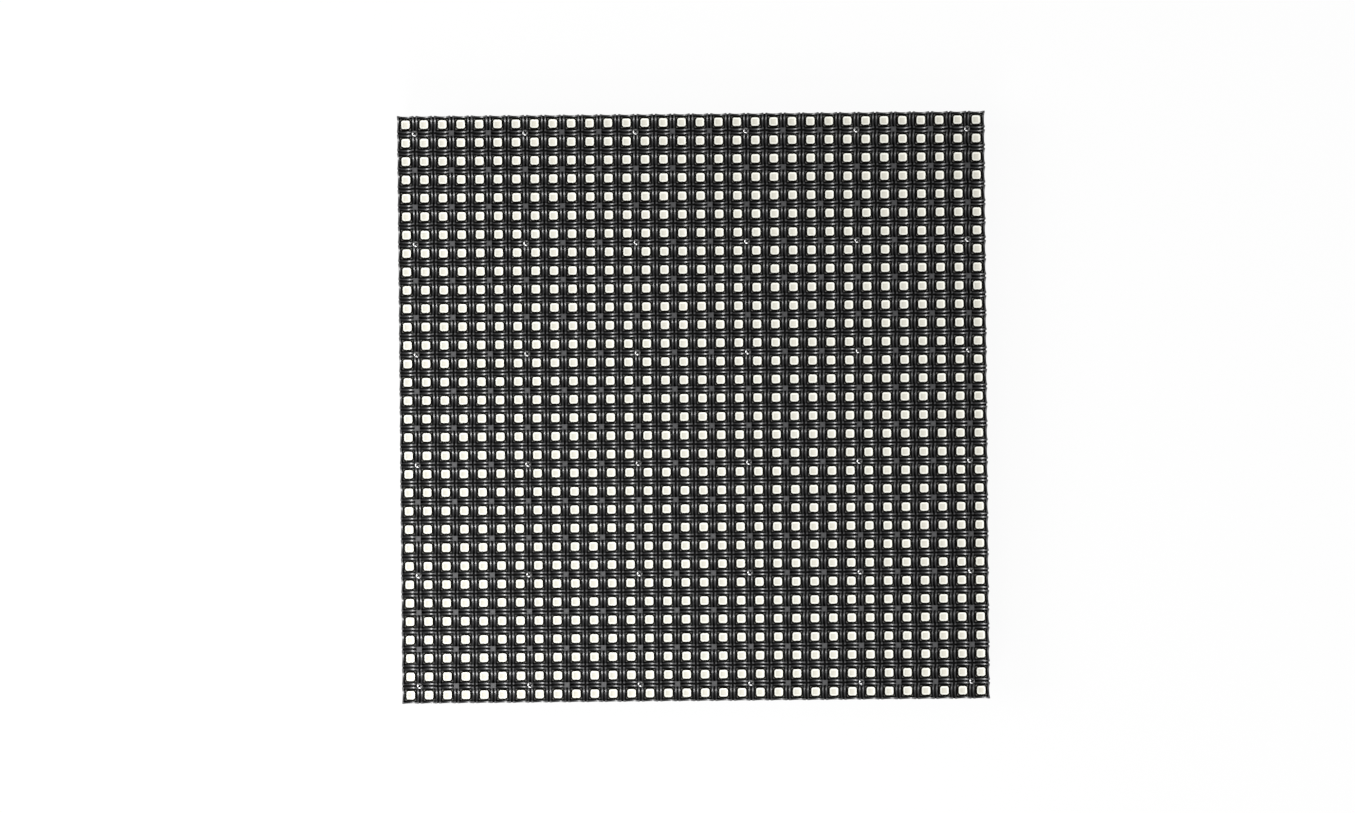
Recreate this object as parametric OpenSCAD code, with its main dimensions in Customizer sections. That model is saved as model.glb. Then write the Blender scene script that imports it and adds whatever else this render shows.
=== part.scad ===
// LED dot matrix module, a square tile of a larger display.
// Surface-mount LEDs on one circuit board look out through the square openings of a black mask.
// Screws through the mask and the board pull both against an open, ribbed back frame.
// The module lies on its back: +Z points out of the display and +Y is up when it hangs on a wall.
// Lengths are in millimetres, and the origin is the middle of the back face.

/* [Pixel field] */
// Pixels along each side
cells = 32; // [24:4:36]
// Distance from one pixel to the next
pitch = 6; // [5.6:0.1:7]
// Gap left along every side for the neighbouring module
tile_gap = 0.3; // [0.1:0.05:0.5]

/* [LEDs] */
// Side of the square LED package
led_side = 3.4; // [3:0.1:3.6]
// Height of the LED package
led_h = 1.9; // [1.2:0.1:2.2]
// Side of the diffusing window on the package
window_side = 2.7; // [2:0.1:2.9]
// How far the window stands above the package
window_h = 0.1; // [0.05:0.05:0.3]

/* [Louvre mask] */
// Thickness of the wall between two openings
wall_t = 1.6; // [1.2:0.1:1.8]
// Height of the mask from the board to the top of its ridges
mask_h = 2.9; // [2.6:0.1:4]
// Depth of the scallop in the top of a wall along X, in the middle of each pixel
scallop_depth = 1.76; // [0.8:0.02:2]
// Thickness of the two ridges on a wall along Y
ridge_t = 0.45; // [0.35:0.05:0.6]
// Depth of the groove between the two ridges
groove_depth = 1.8; // [1:0.1:2.2]

/* [Mask screws] */
// Pixels from one screw to the next
screw_step = 6; // [4:2:6]
// Diameter of the screw head
screw_head_d = 2; // [1.8:0.1:2.6]
// Height of the screw head
screw_head_h = 0.9; // [0.6:0.1:1.2]
// Diameter of the screw's shank
screw_shank_d = 1.6; // [1.4:0.1:1.8]
// Length of the screw under its head
screw_l = 7.5; // [6:0.5:9]
// Width of the chamfer round the head
screw_chamfer = 0.25; // [0.1:0.05:0.4]
// Diameter of the screw's blunt point
screw_point_d = 0.8; // [0.4:0.1:1]
// Depth of the square landing for the head, below the ridges
seat_depth = 1.3; // [1:0.1:1.6]
// Gap between the head and the walls round its landing
head_clear = 0.1; // [0.05:0.05:0.2]
// Gap between the shank and its hole in the mask
mask_hole_clear = 0.05; // [0.05:0.05:0.15]
// Gap between the shank and its hole in the board
board_hole_clear = 0.25; // [0.1:0.05:0.4]
// Gap between the shank and its pilot hole in the frame
pilot_clear = 0.02; // [0.01:0.01:0.05]

/* [Circuit board] */
// Thickness of the circuit board
board_t = 1.6; // [1.2:0.2:2]
// How far the board's edge lies inside the edge of the mask
board_inset = 0.2; // [0.1:0.1:0.5]

/* [Back frame] */
// Depth of the back frame, from its back face to the board
frame_depth = 12.5; // [12:0.5:16]
// How far the frame's side lies inside the edge of the mask
frame_inset = 0.4; // [0.3:0.1:0.8]
// Thickness of the frame's outer wall
frame_wall = 1.8; // [1.6:0.1:2.4]
// Radius inside the four corners of the outer wall
frame_corner_r = 3; // [1:0.5:3]
// Thickness of the ribs and webs
rib_t = 1.6; // [1.2:0.1:2]
// How far the ribs stop short of the back face
rib_setback = 2; // [1:0.5:3]
// Diameter of the boss round each screw
boss_d = 4.6; // [4:0.2:5.4]
// Length of a screw's pilot hole below the board
pilot_l = 6.5; // [6.5:0.5:8]
// Width of the cable notch in a rib
notch_w = 22; // [14:1:24]
// Height of the cable notch in a rib
notch_h = 4.5; // [3:0.5:6]

/* [Mounting inserts] */
// Outer diameter of the threaded insert
insert_d = 4.6; // [4.2:0.1:5]
// Length of the threaded insert
insert_l = 6; // [4:0.5:7]
// Bore of the insert, the core of its M3 thread
insert_bore_d = 2.5; // [2.4:0.1:3]
// Width of the groove round the insert
insert_groove_w = 1; // [0.6:0.1:1.4]
// Depth of the groove round the insert
insert_groove_depth = 0.35; // [0.2:0.05:0.5]
// Diameter of the boss round the insert
insert_boss_d = 8; // [7:0.5:9]
// Gap between the insert and its hole
insert_clear = 0.02; // [0.01:0.01:0.05]
// Depth of the hole past the end of the insert
insert_relief = 1.5; // [1:0.5:3]

/* [Chips] */
// Length of a column driver's body
driver_l = 8.65; // [8:0.05:9.5]
// Width of a column driver's body
driver_w = 3.9; // [3.6:0.1:4.4]
// Height of a column driver's body
driver_h = 1.5; // [1.2:0.1:1.8]
// Length of a row switch's body
switch_l = 4.9; // [4.6:0.1:5.4]
// Width of a row switch's body
switch_w = 3.9; // [3.6:0.1:4.2]
// Height of a row switch's body
switch_h = 1.5; // [1.2:0.1:1.8]
// Length of a signal buffer's body
buffer_l = 12.8; // [12:0.2:13.4]
// Width of a signal buffer's body
buffer_w = 7.5; // [7:0.1:7.8]
// Height of a signal buffer's body
buffer_h = 2.3; // [2:0.1:2.6]
// Length of a row decoder's body
decoder_l = 9.9; // [9.5:0.1:10.4]
// Width of a row decoder's body
decoder_w = 3.9; // [3.6:0.1:4.2]
// Height of a row decoder's body
decoder_h = 1.5; // [1.2:0.1:1.8]
// Diameter of the pin-one dimple in a chip
dimple_d = 0.8; // [0.6:0.1:1]
// Depth of the pin-one dimple
dimple_depth = 0.1; // [0.05:0.05:0.2]

/* [Small parts] */
// Length of a chip resistor or chip capacitor
smd_l = 2; // [1.6:0.1:2.2]
// Width of a chip resistor or chip capacitor
smd_w = 1.25; // [0.8:0.05:1.3]
// Height of a chip resistor
resistor_h = 0.5; // [0.4:0.05:0.6]
// Height of a chip capacitor
ceramic_h = 0.85; // [0.6:0.05:1.25]
// Gap between a chip's side and the small part beside it
smd_gap = 2.2; // [1.8:0.1:3]
// Diameter of an electrolytic capacitor's can
can_d = 6.3; // [5:0.1:6.6]
// Height of an electrolytic capacitor's can
can_h = 5.2; // [4.5:0.1:6]
// Radius of the rolled edges of the can
can_edge_r = 0.5; // [0.3:0.05:0.7]
// Side of an electrolytic capacitor's base
can_base_side = 6.8; // [6.7:0.1:7.4]
// Height of an electrolytic capacitor's base
can_base_h = 1; // [0.6:0.1:1.4]
// Length cut off the base's two marked corners
can_base_cut = 1.7; // [1.2:0.1:1.8]
// Gap between the power connector and the cans' bases
can_gap = 3.4; // [2:0.2:4]
// Gap between the bodies of neighbouring chips, with room for their leads
chip_gap = 4; // [3.5:0.1:4.4]

/* [Data connectors] */
// Pins in each of a data connector's two rows
data_cols = 8; // [5:1:8]
// Distance from one data pin to the next
data_pitch = 2.54; // [2:0.01:2.54]
// Side of a square data pin
data_pin_side = 0.64; // [0.5:0.01:0.7]
// Length of the shroud beyond the outer pins, at each end
shroud_end = 5.1; // [4:0.1:6]
// Width of the shroud
shroud_w = 8.9; // [8:0.1:9.6]
// Height of the shroud
shroud_h = 9; // [8:0.1:10]
// Thickness of the shroud's walls
shroud_wall = 1.2; // [0.8:0.1:1.4]
// Thickness of the shroud's floor, against the board
shroud_floor = 2.5; // [2:0.1:3]
// Width of the polarising slot in the shroud
key_w = 4.5; // [4:0.1:5]
// How far the pins stop short of the shroud's mouth
data_pin_setback = 1.5; // [1:0.1:2.5]

/* [Power connector] */
// Pins in the power connector
power_pins_n = 4; // [3:1:5]
// Distance from one power pin to the next
power_pitch = 3.96; // [3.5:0.01:3.96]
// Side of a square power pin
power_pin_side = 1.14; // [1:0.01:1.2]
// Length of the power header beyond the outer pins, at each end
power_end = 2; // [1.8:0.1:2.5]
// Width of the power header's base
power_base_w = 8.5; // [7.5:0.1:9]
// Height of the power header's base
power_base_h = 3.2; // [2.8:0.1:4]
// Height of the power header's locking wall
power_wall_h = 10; // [8:0.1:10.5]
// Thickness of the power header's locking wall
power_wall_t = 1.3; // [1:0.1:1.6]
// Length of the power pins from the board
power_pin_l = 11; // [10:0.1:11.4]

/* [Hidden] */
$fn = 48;
// Room that a cutter runs past the face it opens
over = 1;

// Outline
field = cells * pitch;
mask_side = field - 2 * tile_gap;
board_side = mask_side - 2 * board_inset;
frame_side = mask_side - 2 * frame_inset;
frame_inner = frame_side - 2 * frame_wall;

// Heights
board_z = frame_depth;
face_z = board_z + board_t;
ridge_z = face_z + mask_h;
seat_z = ridge_z - seat_depth;

// Side of each square opening in the mask
opening = pitch - wall_t;

// Screw grid
screw_pitch = screw_step * pitch;
screws = 2 * floor((cells / 2 - 1 - screw_step / 2) / screw_step) + 2;
last_row = screws - 1;
// The gap between two rows of screws that lies across the middle, left to the connectors
middle_gap = (last_row - 1) / 2;

// Connector sizes and places
shroud_l = (data_cols - 1) * data_pitch + 2 * shroud_end;
data_x = row(last_row) - screw_pitch / 2;
power_l = (power_pins_n - 1) * power_pitch + 2 * power_end;
can_x = power_l / 2 + can_gap + can_base_side / 2;
can_y = power_base_w / 2 + can_base_side / 2;
buffer_x1 = can_x + can_base_side / 2 + chip_gap + buffer_w / 2;
buffer_x2 = buffer_x1 + buffer_w + chip_gap;
decoder_x = buffer_x2 + buffer_w / 2 + chip_gap + decoder_w / 2;

function row(i) = (i - (screws - 1) / 2) * screw_pitch;
function pixel(i) = (i + 0.5 - cells / 2) * pitch;
function gridline(k) = (k - cells / 2) * pitch;

module at_pixels() {
    for (i = [0 : cells - 1], j = [0 : cells - 1])
        translate([pixel(i), pixel(j)]) children();
}

module at_screws() {
    for (i = [0 : last_row], j = [0 : last_row])
        translate([row(i), row(j)]) children();
}

module at_inserts() {
    for (x = [-1, 1], y = [-1, 1])
        translate([x * data_x, y * row(last_row - 1)]) children();
}

// Places its children on the back of the board, upside down
module on_back(x, y, turn = 0) {
    translate([x, y, board_z]) rotate([180, 0, turn]) children();
}

// ---- Louvre mask ----

module mask_plan() {
    difference() {
        square(mask_side, center = true);
        at_pixels() square(opening, center = true);
    }
}

// An arc through the top edges of the openings on both sides
module scallops() {
    half = opening / 2;
    r = (half * half + scallop_depth * scallop_depth) / (2 * scallop_depth);
    for (i = [0 : cells - 1])
        translate([pixel(i), 0, ridge_z - scallop_depth + r]) rotate([90, 0, 0])
            cylinder(h = mask_side + 2 * over, r = r, center = true);
}

module grooves() {
    groove_w = wall_t - 2 * ridge_t;
    for (k = [1 : cells - 1])
        translate([gridline(k) - groove_w / 2, -mask_side / 2 - over, ridge_z - groove_depth])
            cube([groove_w, mask_side + 2 * over, groove_depth + over]);
}

module screw_landing() {
    side = screw_head_d + 2 * head_clear;
    translate([-side / 2, -side / 2, seat_z]) cube([side, side, seat_depth + over]);
    translate([0, 0, face_z - over])
        cylinder(h = mask_h, r = screw_shank_d / 2 + mask_hole_clear);
}

module mask() {
    color("#16171a") difference() {
        translate([0, 0, face_z]) linear_extrude(mask_h) mask_plan();
        scallops();
        grooves();
        at_screws() screw_landing();
    }
}

// ---- LEDs ----

module led_packages() {
    color("#3a3a3c") at_pixels()
        translate([-led_side / 2, -led_side / 2, face_z]) cube([led_side, led_side, led_h]);
}

module led_windows() {
    color("#f4f1e2") at_pixels()
        translate([-window_side / 2, -window_side / 2, face_z + led_h])
            cube([window_side, window_side, window_h]);
}

// ---- Screws ----

module mask_screws() {
    head_r = screw_head_d / 2;
    shank_r = screw_shank_d / 2;
    point_r = screw_point_d / 2;
    color("#a9abad") at_screws() rotate_extrude() polygon([
        [0, seat_z - screw_l], [point_r, seat_z - screw_l], [shank_r, seat_z - screw_l + shank_r],
        [shank_r, seat_z], [head_r, seat_z], [head_r, seat_z + screw_head_h - screw_chamfer],
        [head_r - screw_chamfer, seat_z + screw_head_h], [0, seat_z + screw_head_h]
    ]);
}

// ---- Circuit board ----

module circuit_board() {
    color("#1c2a22") difference() {
        translate([-board_side / 2, -board_side / 2, board_z]) cube([board_side, board_side, board_t]);
        at_screws() translate([0, 0, board_z - over])
            cylinder(h = board_t + 2 * over, r = screw_shank_d / 2 + board_hole_clear);
    }
}

// ---- Back frame ----

module rounded_square(side, r) {
    square([side, side - 2 * r], center = true);
    square([side - 2 * r, side], center = true);
    for (x = [-1, 1], y = [-1, 1])
        translate([x * (side / 2 - r), y * (side / 2 - r)]) circle(r = r);
}

module bar(x, y, lx, ly) {
    translate([x, y]) square([lx, ly], center = true);
}

module rib_plan() {
    // A tall column between the outer ribs, crossed by a rib at every inner row of screws
    for (s = [-1, 1]) {
        bar(s * row(last_row - 1), 0, rib_t, frame_inner + frame_wall);
        bar(0, s * row(last_row - 1), frame_inner + frame_wall, rib_t);
    }
    for (i = [2 : last_row - 2]) bar(0, row(i), 2 * row(last_row - 1), rib_t);
    // Webs from the outermost bosses to the wall
    web_l = frame_inner / 2 - row(last_row) + frame_wall / 2;
    for (i = [0 : last_row], s = [-1, 1]) {
        bar(row(i), s * (row(last_row) + web_l / 2), rib_t, web_l);
        bar(s * (row(last_row) + web_l / 2), row(i), web_l, rib_t);
    }
    at_screws() circle(d = boss_d);
}

module frame_wall_ring() {
    linear_extrude(frame_depth) difference() {
        square(frame_side, center = true);
        rounded_square(frame_inner, frame_corner_r);
    }
}

module cable_notches() {
    for (s = [-1, 1]) translate([s * row(last_row - 1), 0, (rib_setback + notch_h) / 2])
        cube([rib_t + 2 * over, notch_w, rib_setback + notch_h], center = true);
    for (i = [1 : last_row - 1]) translate([0, row(i), (rib_setback + notch_h) / 2])
        cube([notch_w, rib_t + 2 * over, rib_setback + notch_h], center = true);
}

module back_frame() {
    insert_hole_r = insert_d / 2 + insert_clear;
    color("#1b1c1f") difference() {
        union() {
            frame_wall_ring();
            translate([0, 0, rib_setback]) linear_extrude(frame_depth - rib_setback) rib_plan();
            at_inserts() cylinder(h = frame_depth, d = insert_boss_d);
        }
        at_screws() translate([0, 0, frame_depth - pilot_l])
            cylinder(h = pilot_l + over, r = screw_shank_d / 2 + pilot_clear);
        at_inserts() translate([0, 0, -over])
            cylinder(h = insert_l + insert_relief + over, r = insert_hole_r);
        cable_notches();
    }
}

module mounting_inserts() {
    r = insert_d / 2;
    groove_r = r - insert_groove_depth;
    bore_r = insert_bore_d / 2;
    low = (insert_l - insert_groove_w) / 2;
    high = low + insert_groove_w;
    color("#b8913f") at_inserts() rotate_extrude() polygon([
        [bore_r, 0], [r, 0], [r, low], [groove_r, low], [groove_r, high], [r, high],
        [r, insert_l], [bore_r, insert_l]
    ]);
}

// ---- Chips on the back of the board ----

module chip_body(l, w, h) {
    difference() {
        translate([-l / 2, -w / 2, 0]) cube([l, w, h]);
        translate([dimple_d - l / 2, dimple_d - w / 2, h - dimple_depth])
            cylinder(h = dimple_depth + over, d = dimple_d);
    }
}

// The middles of the squares between four screws where the column drivers sit
module at_drivers() {
    for (i = [1 : last_row - 2], j = [0 : last_row - 1])
        if (j != middle_gap) on_back(row(i) + screw_pitch / 2, row(j) + screw_pitch / 2) children();
}

module at_row_switches() {
    for (s = [-1, 1], j = [0 : last_row - 1])
        if (j != middle_gap) on_back(s * data_x, row(j) + screw_pitch / 2) children();
}

module at_buffers() {
    for (s = [-1, 1], x = [buffer_x1, buffer_x2]) on_back(s * x, 0, 90) children();
}

module at_decoders() {
    for (s = [-1, 1]) on_back(s * decoder_x, 0, 90) children();
}

module driver_chips() {
    color("#232427") at_drivers() chip_body(driver_l, driver_w, driver_h);
}

module row_switch_chips() {
    color("#232427") at_row_switches() chip_body(switch_l, switch_w, switch_h);
}

module buffer_chips() {
    color("#232427") at_buffers() chip_body(buffer_l, buffer_w, buffer_h);
}

module decoder_chips() {
    color("#232427") at_decoders() chip_body(decoder_l, decoder_w, decoder_h);
}

module small_part(y, h) {
    translate([-smd_l / 2, y - smd_w / 2, 0]) cube([smd_l, smd_w, h]);
}

module chip_resistors() {
    color("#1e1e20") {
        at_drivers() small_part(driver_w / 2 + smd_gap, resistor_h);
        at_row_switches() small_part(switch_w / 2 + smd_gap, resistor_h);
    }
}

module chip_capacitors() {
    color("#9a7f5c") {
        at_drivers() small_part(-driver_w / 2 - smd_gap, ceramic_h);
        at_buffers() rotate(90) small_part(buffer_l / 2 + smd_gap, ceramic_h);
    }
}

module at_cans() {
    for (x = [-1, 1], y = [-1, 1]) on_back(x * can_x, y * can_y) children();
}

module electrolytic_bases() {
    s = can_base_side / 2;
    c = can_base_side / 2 - can_base_cut;
    color("#26262a") at_cans() linear_extrude(can_base_h)
        polygon([[-s, -s], [c, -s], [s, -c], [s, c], [c, s], [-s, s]]);
}

module electrolytic_cans() {
    r = can_d / 2;
    top = can_base_h + can_h;
    color("#c9cbcd") at_cans() rotate_extrude() {
        translate([0, can_base_h]) square([r, can_h - can_edge_r]);
        translate([0, can_base_h]) square([r - can_edge_r, can_h]);
        intersection() {
            translate([r - can_edge_r, top - can_edge_r]) circle(r = can_edge_r);
            translate([r - can_edge_r, top - can_edge_r]) square(can_edge_r);
        }
    }
}

// ---- Connectors ----

module at_data_pins() {
    for (i = [0 : data_cols - 1], s = [-1, 1])
        translate([(i - (data_cols - 1) / 2) * data_pitch, s * data_pitch / 2]) children();
}

module data_shroud() {
    difference() {
        translate([-shroud_l / 2, -shroud_w / 2, 0]) cube([shroud_l, shroud_w, shroud_h]);
        translate([shroud_wall - shroud_l / 2, shroud_wall - shroud_w / 2, shroud_floor])
            cube([shroud_l - 2 * shroud_wall, shroud_w - 2 * shroud_wall, shroud_h]);
        translate([-key_w / 2, -shroud_w, shroud_floor]) cube([key_w, shroud_w, shroud_h]);
        at_data_pins() translate([0, 0, shroud_floor / 2])
            cube([data_pin_side, data_pin_side, shroud_floor + 2 * over], center = true);
    }
}

module data_pins() {
    pin_l = shroud_h - data_pin_setback;
    at_data_pins() translate([-data_pin_side / 2, -data_pin_side / 2, 0])
        cube([data_pin_side, data_pin_side, pin_l]);
}

module data_in_shroud() { color("#202124") on_back(-data_x, 0, 90) data_shroud(); }

module data_in_pins() { color("#c9a24a") on_back(-data_x, 0, 90) data_pins(); }

module data_out_shroud() { color("#202124") on_back(data_x, 0, 90) data_shroud(); }

module data_out_pins() { color("#c9a24a") on_back(data_x, 0, 90) data_pins(); }

module at_power_pins() {
    for (i = [0 : power_pins_n - 1])
        translate([(i - (power_pins_n - 1) / 2) * power_pitch, 0]) children();
}

module power_header() {
    color("#e9e6da") on_back(0, 0) difference() {
        union() {
            translate([-power_l / 2, -power_base_w / 2, 0]) cube([power_l, power_base_w, power_base_h]);
            translate([-power_l / 2, power_base_w / 2 - power_wall_t, 0])
                cube([power_l, power_wall_t, power_wall_h]);
        }
        at_power_pins() translate([0, 0, power_base_h / 2])
            cube([power_pin_side, power_pin_side, power_base_h + 2 * over], center = true);
    }
}

module power_pins() {
    color("#c4c6c8") on_back(0, 0) at_power_pins()
        translate([-power_pin_side / 2, -power_pin_side / 2, 0])
            cube([power_pin_side, power_pin_side, power_pin_l]);
}

mask();
led_packages();
led_windows();
mask_screws();
circuit_board();
back_frame();
mounting_inserts();
driver_chips();
row_switch_chips();
buffer_chips();
decoder_chips();
chip_resistors();
chip_capacitors();
electrolytic_cans();
electrolytic_bases();
data_in_shroud();
data_in_pins();
data_out_shroud();
data_out_pins();
power_header();
power_pins();
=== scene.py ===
import math

import bpy
from mathutils import Matrix, Vector


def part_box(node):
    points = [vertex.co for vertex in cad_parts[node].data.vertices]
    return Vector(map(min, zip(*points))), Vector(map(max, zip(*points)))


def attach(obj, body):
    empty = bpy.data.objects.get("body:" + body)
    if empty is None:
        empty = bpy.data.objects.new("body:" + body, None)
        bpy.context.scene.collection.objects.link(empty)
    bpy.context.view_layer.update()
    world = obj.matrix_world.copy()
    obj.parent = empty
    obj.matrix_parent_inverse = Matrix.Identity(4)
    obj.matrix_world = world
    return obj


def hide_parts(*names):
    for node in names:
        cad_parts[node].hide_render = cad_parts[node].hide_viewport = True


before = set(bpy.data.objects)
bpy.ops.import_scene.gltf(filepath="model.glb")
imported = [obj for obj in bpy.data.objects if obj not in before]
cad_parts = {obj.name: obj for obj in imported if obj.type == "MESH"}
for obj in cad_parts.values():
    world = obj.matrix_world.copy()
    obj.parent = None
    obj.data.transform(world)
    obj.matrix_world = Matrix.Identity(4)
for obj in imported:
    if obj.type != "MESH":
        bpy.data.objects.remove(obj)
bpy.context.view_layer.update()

MM = 0.001

# ---- Sizes in millimetres, as the CAD model has them ----

PITCH = 6.0
CELLS = 32
OPENING = 4.4
WALL = PITCH - OPENING
SCREW_PITCH = 36.0
SCREWS = 6
FIRST_SCREW = -SCREW_PITCH * (SCREWS - 1) / 2

# Read from the frame
HALF_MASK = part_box("mask")[1].x / MM
FACE_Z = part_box("mask")[0].z / MM
RIDGE_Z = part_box("mask")[1].z / MM
BOARD_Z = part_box("circuit_board")[0].z / MM

# Corners closer than this are one corner
MERGE = 0.002
# Past a face or an edge, so that a cut goes clean through it
PAST = 1.0

# ---- Helpers for shapes ----


def deselect():
    if bpy.context.object and bpy.context.object.mode != "OBJECT":
        bpy.ops.object.mode_set(mode="OBJECT")
    bpy.ops.object.select_all(action="DESELECT")


def activate(ob):
    deselect()
    ob.select_set(True)
    bpy.context.view_layer.objects.active = ob
    return ob


def remove(ob):
    activate(ob)
    bpy.ops.object.delete()


def settle(name=None):
    """Puts the new object's place, turn and size into its mesh."""
    ob = bpy.context.object
    bpy.ops.object.transform_apply(location=True, rotation=True, scale=True)
    if name:
        ob.name = name
        ob.data.name = name
    return ob


def move(ob, x, y, name=None):
    activate(ob)
    ob.location = (x * MM, y * MM, 0)
    return settle(name)


def box(lo, hi):
    """A box between two corners."""
    deselect()
    size = [(b - a) * MM for a, b in zip(lo, hi)]
    middle = [(a + b) / 2 * MM for a, b in zip(lo, hi)]
    bpy.ops.mesh.primitive_cube_add(size=1, location=middle, scale=size)
    return settle()


def box_along(axis, start, stop, across, half, z0, z1):
    """A box that runs along X or Y, with its middle line at a distance across."""
    lo = [start, across - half]
    hi = [stop, across + half]
    if axis == "y":
        lo.reverse()
        hi.reverse()
    return box(lo + [z0], hi + [z1])


def rod(x, y, z0, z1, radius, sides):
    """An upright cylinder from z0 to z1."""
    deselect()
    bpy.ops.mesh.primitive_cylinder_add(vertices=sides, radius=radius * MM, depth=(z1 - z0) * MM,
                                        location=(x * MM, y * MM, (z0 + z1) / 2 * MM))
    return settle()


def bar_along(axis, across, z, radius, length, sides):
    """A lying cylinder with a corner of its outline straight down."""
    deselect()
    place = (0, across * MM, z * MM) if axis == "x" else (across * MM, 0, z * MM)
    turn = (0, math.pi / 2, 0) if axis == "x" else (math.pi / 2, 0, 0)
    bpy.ops.mesh.primitive_cylinder_add(vertices=sides, radius=radius * MM, depth=length * MM,
                                        location=place, rotation=turn)
    return settle()


def turned(points, sides):
    """A turned solid: a disc extruded and resized from one (radius, height) to the next."""
    deselect()
    r_was, z_was = points[0]
    bpy.ops.mesh.primitive_circle_add(vertices=sides, radius=r_was * MM, fill_type="NGON",
                                      location=(0, 0, z_was * MM))
    ob = settle()
    bpy.ops.object.mode_set(mode="EDIT")
    bpy.ops.mesh.select_mode(type="FACE")
    bpy.ops.mesh.select_all(action="SELECT")
    for r, z in points[1:]:
        bpy.ops.mesh.extrude_region_move(TRANSFORM_OT_translate={"value": (0, 0, (z - z_was) * MM)})
        bpy.ops.transform.resize(value=(r / r_was, r / r_was, 1))
        r_was, z_was = r, z
    bpy.ops.object.mode_set(mode="OBJECT")
    return outward(ob)


def join(obs, name=None):
    activate(obs[0])
    for ob in obs:
        ob.select_set(True)
    if len(obs) > 1:
        bpy.ops.object.join()
    ob = bpy.context.object
    if name:
        ob.name = name
        ob.data.name = name
    return ob


def boolean(ob, tool, operation="DIFFERENCE"):
    """Cuts the tool out of the object, or adds it; the tool goes."""
    activate(ob)
    mod = ob.modifiers.new("cut", "BOOLEAN")
    mod.operation = operation
    mod.solver = "EXACT"
    mod.object = tool
    bpy.ops.object.modifier_apply(modifier=mod.name)
    remove(tool)
    return activate(ob)


def array(ob, count, step, merge=False):
    activate(ob)
    mod = ob.modifiers.new("row", "ARRAY")
    mod.use_relative_offset = False
    mod.use_constant_offset = True
    mod.constant_offset_displace = [s * MM for s in step]
    mod.count = count
    mod.use_merge_vertices = merge
    mod.merge_threshold = MERGE * MM
    bpy.ops.object.modifier_apply(modifier=mod.name)
    return ob


def grid(ob, columns, rows, step, merge=False):
    """Rows and columns of one shape, which stands at the corner with the smallest X and Y."""
    array(ob, columns, (step, 0, 0), merge)
    return array(ob, rows, (0, step, 0), merge)


def copy(ob, x=0.0, y=0.0, z=0.0, tilt=0.0, turn=0.0):
    """A copy with its own mesh, tilted and turned about the origin and then moved."""
    activate(ob)
    bpy.ops.object.duplicate()
    new = bpy.context.object
    new.rotation_euler = (math.radians(tilt), 0, math.radians(turn))
    new.location = (x * MM, y * MM, z * MM)
    return settle()


def copies(ob, places, name, z=0.0, tilt=0.0):
    """Copies of one pattern at (x, y, turn) places, joined; the pattern goes."""
    made = [copy(ob, x, y, z, tilt, turn) for x, y, turn in places]
    remove(ob)
    return join(made, name)


def on_back(ob, places, name):
    """Copies on the back of the board of a part that was modelled standing on Z 0."""
    return copies(ob, places, name, BOARD_Z, 180.0)


def bevel(ob, width, segments, angle):
    activate(ob)
    mod = ob.modifiers.new("edges", "BEVEL")
    mod.width = width * MM
    mod.segments = segments
    mod.limit_method = "ANGLE"
    mod.angle_limit = math.radians(angle)
    bpy.ops.object.modifier_apply(modifier=mod.name)
    return ob


def smooth(ob, angle):
    activate(ob)
    bpy.ops.object.shade_smooth_by_angle(angle=math.radians(angle))
    return ob


def edit_all(ob):
    """Opens edit mode with the whole mesh selected."""
    activate(ob)
    bpy.ops.object.mode_set(mode="EDIT")
    bpy.ops.mesh.select_all(action="SELECT")


def outward(ob):
    edit_all(ob)
    bpy.ops.mesh.normals_make_consistent(inside=False)
    bpy.ops.object.mode_set(mode="OBJECT")
    return ob


def mend(ob):
    """Merges corners that lie closer together than any real edge is long."""
    activate(ob)
    bpy.ops.object.mode_set(mode="EDIT")
    bpy.ops.mesh.select_mode(type="VERT")
    bpy.ops.mesh.select_all(action="SELECT")
    bpy.ops.mesh.remove_doubles(threshold=2 * MERGE * MM)
    bpy.ops.mesh.dissolve_degenerate(threshold=2 * MERGE * MM)
    bpy.ops.object.mode_set(mode="OBJECT")
    return ob


def clear_selection(ob, kind):
    """Leaves nothing selected in the mesh, and sets what is to be selected next."""
    activate(ob)
    bpy.ops.object.mode_set(mode="EDIT")
    bpy.ops.mesh.select_mode(type=kind)
    bpy.ops.mesh.select_all(action="DESELECT")
    bpy.ops.object.mode_set(mode="OBJECT")


def select_vertices(ob, wanted):
    """Opens edit mode with the vertices for which wanted(place) holds."""
    clear_selection(ob, "VERT")
    for vertex in ob.data.vertices:
        vertex.select = wanted(vertex.co / MM)
    bpy.ops.object.mode_set(mode="EDIT")


def select_edges(ob, wanted):
    """Opens edit mode with the edges for which wanted(one end, other end) holds."""
    clear_selection(ob, "EDGE")
    for edge in ob.data.edges:
        edge.select = wanted(*(ob.data.vertices[v].co / MM for v in edge.vertices))
    bpy.ops.object.mode_set(mode="EDIT")


def select_faces(ob, wanted):
    """Opens edit mode with the faces for which wanted(centre, normal) holds."""
    clear_selection(ob, "FACE")
    for face in ob.data.polygons:
        face.select = wanted(face.center / MM, face.normal)
    bpy.ops.object.mode_set(mode="EDIT")


def on_top(_, normal):
    return normal.z > 0.9


def paint(ob, mat, wanted):
    """Gives some faces a material of their own."""
    ob.data.materials.append(mat)
    select_faces(ob, wanted)
    ob.active_material_index = len(ob.data.materials) - 1
    bpy.ops.object.material_slot_assign()
    bpy.ops.object.mode_set(mode="OBJECT")
    return ob


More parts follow.
